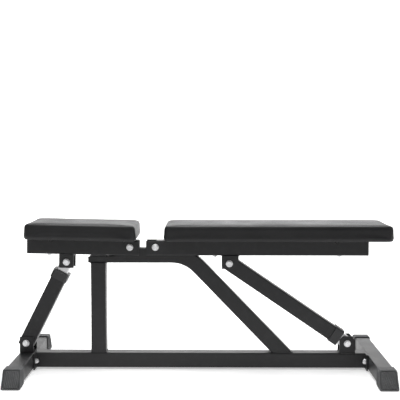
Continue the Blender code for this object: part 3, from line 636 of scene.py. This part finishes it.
def nut_profile(start, out, radius):
    """From the seat outwards: washer, chamfered hexagon, a locking nut's domed collar and the bolt's end."""
    w, flat, tall, rim = WASHER, radius * HEXAGON, radius * NUT_HEIGHT, radius * WASHER_RIM
    steps = [(0.0, rim - 0.0003, 0), (0.0003, rim, 0), (w - 0.0003, rim, 0), (w, rim - 0.0004, 0),
             (w, flat * 0.98, 0), (w + 0.0003, flat * 1.14, flat), (w + tall * 0.75, flat * 1.14, flat),
             (w + tall * 0.86, flat * 1.0, flat), (w + tall * 0.9, flat * 0.93, 0),
             (w + tall * 1.12, flat * 0.88, 0), (w + tall * 1.2, flat * 0.78, 0),
             (w + tall * 1.2, radius * 1.06, 0), (w + tall * 1.1, radius * 1.0, 0)]
    profile = [(start + out * d, r, f, 0.0) for d, r, f in steps]
    thread = w + tall * 1.1
    for turn in range(5):
        profile.append((start + out * (thread + turn * 0.0004), radius * (0.96 if turn % 2 else 0.9), 0, 0.0))
    profile.append((start + out * (thread + 0.0022), radius * 0.8, 0, 0.0))
    return profile


def make_fastener(node, axis, head_first, body):
    """A bolt that stands where its frame node does: head, shank and nut along the axis. A split bolt's head
    or nut faces away from the bench's middle."""
    low, high = box_of(node)
    index = "xyz".index(axis)
    centre = (low + high) / 2
    centre[index] = 0.0
    radius = next((r for key, r in SHANK_RADII.items() if key in node), PIVOT_SHANK_RADIUS)
    a, b = low[index], high[index]
    head_room, nut_room = WASHER + radius * HEAD_HEIGHT, WASHER + radius * NUT_ROOM
    if node.endswith(("_head", "_nut")):
        room = WASHER + radius * NUT_HEIGHT
        seat, out, end = (a + room, -1, b) if a + b < 0 else (b - room, 1, a)
        ends = head_profile if node.endswith("_head") else nut_profile
        profile = [(end, radius, 0, 0.0), (seat, radius, 0, 0.0), *ends(seat, out, radius)]
    elif "pad_bolt" in node:
        seat = a + head_room
        profile = [(b, radius * 0.8, 0, 0.0), (b - 0.001, radius, 0, 0.0), (seat, radius, 0, 0.0),
                   *head_profile(seat, -1, radius)]
    else:
        head_seat, nut_seat = (a + head_room, b - nut_room) if head_first else (b - head_room, a + nut_room)
        out = -1 if head_first else 1
        profile = [*head_profile(head_seat, out, radius)[::-1], (head_seat, radius, 0, 0.0),
                   (nut_seat, radius, 0, 0.0), *nut_profile(nut_seat, -out, radius)]
    made = piece(node + "_detail", [capped(turned_rings(profile, centre, axis))], finish(zinc_plate), 35.0)
    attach(made, body)
    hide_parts(node)


# ---------------------------------------------------------------- foot caps
TUBE_HALF = 0.0253          # socket that the stabilizer's tube goes into
TUBE_LOW, TUBE_HIGH = 0.0057, 0.0563
CAP_WALL = 0.0032
CAP_SLOPE = 0.0315          # how far the end face leans in from floor to top
SOCKET_END_Y = 0.2512


def cap_outline(x, half, z_top, radius, columns_per_side=26):
    """Rounded rectangle in x and z, standing on the floor."""
    outline = rounded_outline(half, z_top / 2, radius, columns_per_side, 5)
    return outline + (x, z_top / 2)


def make_foot_cap(node):
    """A boot swept from its socket, over the mouth's lip and out to a sloping ribbed end face. Each ring is
    a rounded rectangle that leans more the nearer it is to the end, and the ribs are a wave across it."""
    low, high = box_of(node)
    side = 1 if high[1] > 0 else -1
    x, half_base, top = (low[0] + high[0]) / 2, (high[0] - low[0]) / 2, high[2]
    mouth, base_end = sorted((abs(low[1]), abs(high[1])))
    top_end = base_end - CAP_SLOPE
    wall_half = TUBE_HALF + CAP_WALL

    def ring(share, grow=0.0, shrink=0.0):
        """Ring at a share of the way from mouth to end."""
        outline = cap_outline(0.0, wall_half + grow - shrink, top, 0.006)
        outline[:, 1] = (outline[:, 1] - top / 2) * (1 - 2 * shrink / top) + top / 2
        height = np.clip(outline[:, 1] / top, 0, 1)
        flare = (half_base - wall_half) * (1 - height) * np.clip(share * 1.6, 0, 1)
        spread_x = outline[:, 0] * (1 + flare / wall_half)
        end = base_end + (top_end - base_end) * height
        y = mouth + share * (end - mouth)
        return np.column_stack([x + spread_x, side * y, outline[:, 1]])

    def socket(y, inset=0.0):
        outline = rounded_outline(TUBE_HALF - inset, (TUBE_HIGH - TUBE_LOW) / 2 - inset, 0.004, 26, 5)
        outline[:, 1] += (TUBE_HIGH + TUBE_LOW) / 2
        return np.column_stack([x + outline[:, 0], np.full(len(outline), side * y), outline[:, 1]])

    rings = [socket(SOCKET_END_Y, 0.012), socket(SOCKET_END_Y), socket(mouth + 0.0006)]
    rings += [ring(0.0, shrink=0.0009), ring(0.008), ring(0.03)]
    pitch, depth = sizes().rib_pitch, sizes().rib_depth
    for share in np.linspace(0.05, 0.965, 46):
        body = ring(share)
        centre = np.array([x, 0.0, top / 2])
        away = body - centre
        away[:, 1] = 0
        away /= np.linalg.norm(away, axis=1, keepdims=True)
        distance = np.abs(body[:, 1]) - mouth + (top - body[:, 2]) * 0.35
        groove = 0.5 - 0.5 * np.cos(TAU * distance / pitch)
        band = np.clip((body[:, 2] - 0.005) / 0.004, 0, 1) * np.clip((top - 0.004 - body[:, 2]) / 0.003, 0, 1)
        band *= np.clip((share - 0.12) / 0.05, 0, 1) * np.clip((0.93 - share) / 0.04, 0, 1)
        rings.append(body - away * (depth * groove ** 2 * band)[:, None])
    rings += [ring(0.985, shrink=0.0004), ring(1.0, shrink=0.0016)]
    for inset in np.concatenate([np.linspace(0.0025, 0.0075, 11), np.linspace(0.0083, 0.0265, 24)]):
        face = ring(1.0, shrink=inset)
        moat = 0.0034 * np.exp(-((inset - 0.0050) / 0.0013) ** 2)
        slant = (face[:, 0] - x) * 0.94 + face[:, 2] * 0.34
        groove = (0.5 - 0.5 * np.cos(TAU * slant / pitch)) ** 2
        face[:, 1] -= side * (moat + depth * groove * np.clip((inset - 0.0062) / 0.001, 0, 1))
        rings.append(face)
    made = piece(node + "_moulding", [capped(np.array(rings))], finish(rubber), 50.0)
    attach(made, "frame")
    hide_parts(node)


# ---------------------------------------------------------------- welds
BRACE_FOOT_LENGTH = 0.0690  # of the brace's slanting end where it stands on the rail


def bead(path):
    """A rippled tube along a polyline: its radius is a base plus a rounded wave of the distance along it."""
    radius, ripple = sizes().weld_radius, sizes().weld_ripple
    path = np.array(path, float)
    legs = np.linalg.norm(np.diff(path, axis=0), axis=1)
    at = np.concatenate([[0], np.cumsum(legs)])
    count = max(6, int(at[-1] / (ripple / 5)))
    s = np.linspace(0, at[-1], count)
    centre = np.stack([np.interp(s, at, path[:, i]) for i in range(3)], 1)
    along = np.gradient(centre, axis=0)
    along /= np.maximum(np.linalg.norm(along, axis=1, keepdims=True), 1e-9)
    helper = np.where(np.abs(along[:, 2:]) > 0.8, [[1.0, 0, 0]], [[0, 0, 1.0]])
    u = np.cross(along, helper)
    u /= np.linalg.norm(u, axis=1, keepdims=True)
    v = np.cross(along, u)
    angle = np.arange(10) * TAU / 10
    ends = np.sqrt(np.clip(np.minimum(s, at[-1] - s) / radius, 0.02, 1))
    size = radius * (0.92 + 0.16 * np.abs(np.sin(pi * s / ripple))) * ends
    ring = u[:, None] * np.cos(angle)[None, :, None] + v[:, None] * np.sin(angle)[None, :, None]
    return capped(centre[:, None] + ring * size[:, None, None])


def weld(name, body, paths):
    made = piece(name, [bead(path) for path in paths], finish(weld_steel), 180.0)
    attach(made, body)


def side_beads(node, on_top, half_y=None, trim=0.004):
    """Beads along both long sides where a bracket's web meets its tube; a web on top has them at its foot."""
    low, high = box_of(node)
    z = low[2] if on_top else high[2]
    y = half_y or high[1]
    return [[(low[0] + trim, side * y, z), (high[0] - trim, side * y, z)] for side in (-1, 1)]


def cross_beads(node, on_top, half_y=0.019):
    """Beads across both ends of a bracket or tube foot."""
    low, high = box_of(node)
    z = low[2] if on_top else high[2]
    return [[(x, -half_y, z), (x, half_y, z)] for x in (low[0], high[0])]


# ---------------------------------------------------------------- operators
DRAW_SLOPES = {"back_strut_inner": radians(34.28), "seat_strut_inner": radians(-63.37)}    # along each tube


class BENCH_OT_seat_pad(bpy.types.Operator):
    """Make the seat's stuffed pad"""
    bl_idname, bl_label = "bench.seat_pad", "Seat pad"

    def execute(self, context):
        made = make_pad("seat_pad")
        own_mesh(made)
        make_underside("seat_pad", rear_gap=0.033)
        return {"FINISHED"}


class BENCH_OT_back_pad(bpy.types.Operator):
    """Make the backrest's stuffed pad"""
    bl_idname, bl_label = "bench.back_pad", "Back pad"

    def execute(self, context):
        make_pad("back_pad")
        make_underside("back_pad")
        return {"FINISHED"}


class BENCH_OT_foot_caps(bpy.types.Operator):
    """Mould the four ribbed rubber foot caps"""
    bl_idname, bl_label = "bench.foot_caps", "Foot caps"

    def execute(self, context):
        for end in ("front", "rear"):
            for side in ("near", "far"):
                make_foot_cap(f"foot_cap_{end}_{side}")
        return {"FINISHED"}


class BENCH_OT_fasteners(bpy.types.Operator):
    """Make every bolt and nut, with washers, chamfers and threads"""
    bl_idname, bl_label = "bench.fasteners", "Fasteners"

    def execute(self, context):
        bodies = frame["record"]["behaviour"]["bodies"]
        for body, nodes in bodies.items():
            for node in nodes:
                if "bolt" not in node:
                    continue
                axis = "x" if "stabilizer" in node else "z" if "pad_bolt" in node else "y"
                make_fastener(node, axis, "rear" not in node, body)
        return {"FINISHED"}


class BENCH_OT_pull_pins(bpy.types.Operator):
    """Make the pull pins' lobed knobs and threaded housings"""
    bl_idname, bl_label = "bench.pull_pins", "Pull pins"

    def execute(self, context):
        for which in ("seat", "back"):
            node = f"{which}_pull_pin"
            low, high = box_of(node)
            centre = (low + high) / 2
            centre[1] = 0.0
            nose, end, width = low[1], high[1], high[0] - low[0]
            knob, lobe = 0.020, 0.07
            grip = width / 2 / (1 + lobe)
            shape = [(nose, 0.0036, 0, 0), (nose + 0.0015, 0.005, 0, 0), (end - knob, 0.005, 0, 0),
                     (end - knob, 0.0098, 0, 0), (end - knob + 0.0008, 0.0106, 0, 0),
                     (end - knob * 0.6, 0.0092, 0, 0.0), (end - knob * 0.5, 0.0100, 0, 0.01),
                     (end - knob * 0.36, grip * 0.9, 0, 0.05), (end - knob * 0.28, grip, 0, lobe),
                     (end - knob * 0.1, grip, 0, lobe), (end - knob * 0.03, grip * 0.93, 0, 0.06),
                     (end, grip * 0.82, 0, 0.03), (end, grip * 0.5, 0, 0), (end - 0.0008, grip * 0.44, 0, 0)]
            rings = turned_rings(shape, centre, "y", 72)
            made = piece(node + "_knob", [capped(rings)], finish(plastic), 40.0)
            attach(made, f"{which}_pin")
            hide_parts(node)
            self.make_housing(which)
        return {"FINISHED"}

    def make_housing(self, which):
        """A hexagon base nut, then a threaded barrel, hollow for the pin."""
        node = f"{which}_pull_pin_housing"
        low, high = box_of(node)
        centre = (low + high) / 2
        centre[1] = 0.0
        face, end, bore, outer = low[1], high[1], 0.0054, (high[0] - low[0]) / 2
        flat = outer * 0.86
        shape = [(face + 0.002, bore, 0, 0), (face, bore, 0, 0), (face, flat, 0, 0),
                 (face + 0.0006, outer, flat, 0), (face + 0.0074, outer, flat, 0),
                 (face + 0.008, flat * 0.96, 0, 0), (face + 0.008, flat * 0.8, 0, 0)]
        for turn in range(12):
            shape.append((face + 0.009 + turn * 0.0009, flat * (0.80 if turn % 2 else 0.74), 0, 0))
        shape += [(end - 0.0005, flat * 0.76, 0, 0), (end, flat * 0.7, 0, 0), (end, bore, 0, 0),
                  (end - 0.002, bore, 0, 0)]
        rings = turned_rings(shape, centre, "y")
        points, faces = rings.reshape(-1, 3), quads(len(shape), rings.shape[1])
        columns = rings.shape[1]
        ring, last = np.arange(columns), (len(shape) - 1) * columns
        bridge = np.stack([last + ring, last + np.roll(ring, -1), np.roll(ring, -1), ring], 1)
        made = piece(node + "_thread", [(points, faces.tolist() + bridge.tolist())], finish(zinc_plate), 35.0)
        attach(made, f"{which}_strut_outer")
        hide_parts(node)


class BENCH_OT_welds(bpy.types.Operator):
    """Lay the weld beads of the frame, the seat and the backrest"""
    bl_idname, bl_label = "bench.welds", "Weld beads"

    def execute(self, context):
        rail_low, rail_high = box_of("base_rail")
        post_low, post_high = box_of("front_post")
        half = post_high[1] - 0.004
        paths = []
        for x in (post_low[0], post_high[0]):
            paths.append([(x, -half, post_low[2]), (x, half, post_low[2])])
            paths.append([(x, -0.018, post_high[2]), (x, 0.018, post_high[2])])
        brace_low, brace_high = box_of("main_brace")
        foot = brace_high[0]
        heel = foot - BRACE_FOOT_LENGTH
        side = brace_high[1]
        for sign in (-1, 1):
            paths.append([(heel + 0.003, sign * side, brace_low[2]),
                          (foot - 0.003, sign * side, brace_low[2])])
            paths.append([(post_low[0] + 0.004, sign * side, post_high[2]),
                          (post_high[0] - 0.004, sign * side, post_high[2])])
        paths += [[(x, -side + 0.003, brace_low[2]), (x, side - 0.003, brace_low[2])] for x in (heel, foot)]
        for x in (rail_low[0], rail_high[0]):
            z0, z1, y = rail_low[2] + 0.003, rail_high[2] - 0.003, rail_high[1]
            paths += [[(x, sign * y, z0), (x, sign * y, z1)] for sign in (-1, 1)]
        paths += side_beads("front_strut_bracket", True, 0.0235) + side_beads("rear_strut_bracket", True)
        paths += cross_beads("rear_strut_bracket", True)
        weld("frame_weld_beads", "frame", paths)
        weld("seat_weld_beads", "seat", self.tilted(side_beads("seat_strut_bracket", False)))
        weld("back_weld_beads", "backrest",
             side_beads("back_strut_bracket", False, 0.0235) + cross_beads("back_strut_bracket", False))
        return {"FINISHED"}

    def tilted(self, paths):
        """Beads on the seat follow its lean at rest."""
        lean, out = PADS["seat_pad"]["lean"], []
        for (x0, y0, z0), (x1, y1, z1) in paths:
            rise = (x1 - x0) * sin(lean)
            out.append([(x0, y0, z0 - 0.0002), (x1, y1, z1 - rise - 0.0002)])
        return out


class BENCH_OT_finishes(bpy.types.Operator):
    """Give every frame part that stays its finish"""
    bl_idname, bl_label = "bench.finishes", "Finishes"

    def execute(self, context):
        makers = {"frame_black": powder_coat, "zinc": zinc_plate, "rubber": rubber, "plastic": plastic,
                  "vinyl": vinyl, "foam": dust_cloth, "plywood": dust_cloth}
        slots = {part["node"]: part["material_slot"] for part in frame["record"]["subparts"]}
        for node, obj in frame["nodes"].items():
            if node.endswith("strut_inner"):
                material = finish(zinc_plate, f"{node}_zinc", DRAW_SLOPES[node])
            else:
                material = finish(makers[slots[node]])
            obj.data.materials.clear()
            obj.data.materials.append(material)
        return {"FINISHED"}


class BENCH_OT_stage(bpy.types.Operator):
    """Set up the pale floor, the soft light and the camera"""
    bl_idname, bl_label = "bench.stage", "Studio"

    def execute(self, context):
        self.make_sweep()
        self.make_lights()
        world = bpy.data.worlds.new("studio")
        world.use_nodes = True
        world.node_tree.nodes["Background"].inputs["Color"].default_value = (1.0, 1.0, 1.0, 1.0)
        world.node_tree.nodes["Background"].inputs["Strength"].default_value = 0.16
        context.scene.world = world
        context.scene.view_settings.view_transform = "Standard"
        yaw, pitch = 0.0104, 0.0668
        camera = bpy.data.objects.new("camera", bpy.data.cameras.new("camera"))
        camera.data.lens, camera.data.sensor_width = 81.0, 36.0
        camera.data.clip_end = 50.0
        camera.location = (0.0257, -3.0004, 0.7690)
        camera.rotation_euler = (pi / 2 - pitch, 0.0, yaw)
        context.scene.collection.objects.link(camera)
        context.scene.camera = camera
        return {"FINISHED"}

    def make_sweep(self):
        """A floor that curves up into a backdrop: straight, a quarter circle, then straight up."""
        back, radius, tall, half = 3.2, 1.6, 5.0, 9.0
        turn = np.linspace(0, pi / 2, 24)
        y = np.concatenate([[-7.0], back + radius * np.sin(turn), [back + radius]])
        z = np.concatenate([[0.0], radius - radius * np.cos(turn), [tall]])
        points = np.concatenate([np.column_stack([np.full(len(y), x), y, z]) for x in (-half, half)])
        n = len(y)
        faces = [(i, i + n, i + n + 1, i + 1) for i in range(n - 1)]
        mesh = bpy.data.meshes.new("floor")
        mesh.from_pydata(points.tolist(), [], faces)
        mesh.materials.append(finish(studio_white))
        mesh.shade_smooth()
        floor = bpy.data.objects.new("floor", mesh)
        bpy.context.scene.collection.objects.link(floor)

    def make_lights(self):
        for name, place, aim, size, power in (
                ("overhead_softbox", (0.0, -0.25, 2.6), (0.0, -0.1, 0.0), 1.5, 60.0),
                ("backdrop_light", (0.0, 1.4, 2.9), (0.0, 4.4, 1.0), 3.0, 170.0),
                ("front_softbox", (-1.6, -3.4, 2.6), (0.0, 0.0, 0.3), 2.2, 24.0),
                ("right_softbox", (3.2, -1.2, 1.8), (0.2, 0.0, 0.3), 1.8, 18.0)):
            data = bpy.data.lights.new(name, "AREA")
            data.size, data.energy = size, power
            light = bpy.data.objects.new(name, data)
            light.location = place
            direction = Vector(aim) - Vector(place)
            light.rotation_euler = direction.to_track_quat("-Z", "Y").to_euler()
            bpy.context.scene.collection.objects.link(light)


class BENCH_PT_panel(bpy.types.Panel):
    """Lists the bench's pieces in the sidebar"""
    bl_idname, bl_label = "BENCH_PT_panel", "Weight bench"
    bl_space_type, bl_region_type, bl_category = "VIEW_3D", "UI", "Weight bench"

    def draw(self, context):
        for operator in OPERATORS:
            self.layout.operator(operator.bl_idname)
        for settings in (context.scene.bench_sizes, context.scene.bench_colours):
            for name in settings.__annotations__:
                self.layout.prop(settings, name)


OPERATORS = (BENCH_OT_stage, BENCH_OT_finishes, BENCH_OT_seat_pad, BENCH_OT_back_pad, BENCH_OT_foot_caps,
             BENCH_OT_fasteners, BENCH_OT_pull_pins, BENCH_OT_welds)
CLASSES = (BenchSizes, BenchColours, *OPERATORS, BENCH_PT_panel)


def register():
    for item in CLASSES:
        bpy.utils.register_class(item)
    bpy.types.Scene.bench_sizes = bpy.props.PointerProperty(type=BenchSizes)
    bpy.types.Scene.bench_colours = bpy.props.PointerProperty(type=BenchColours)


def unregister():
    del bpy.types.Scene.bench_colours
    del bpy.types.Scene.bench_sizes
    for item in reversed(CLASSES):
        bpy.utils.unregister_class(item)


def main():
    register()
    bpy.ops.bench.stage()
    bpy.ops.bench.finishes()
    bpy.ops.bench.seat_pad()
    bpy.ops.bench.back_pad()
    bpy.ops.bench.foot_caps()
    bpy.ops.bench.fasteners()
    bpy.ops.bench.pull_pins()
    bpy.ops.bench.welds()
    bpy.context.view_layer.update()


if __name__ == "__main__":
    main()
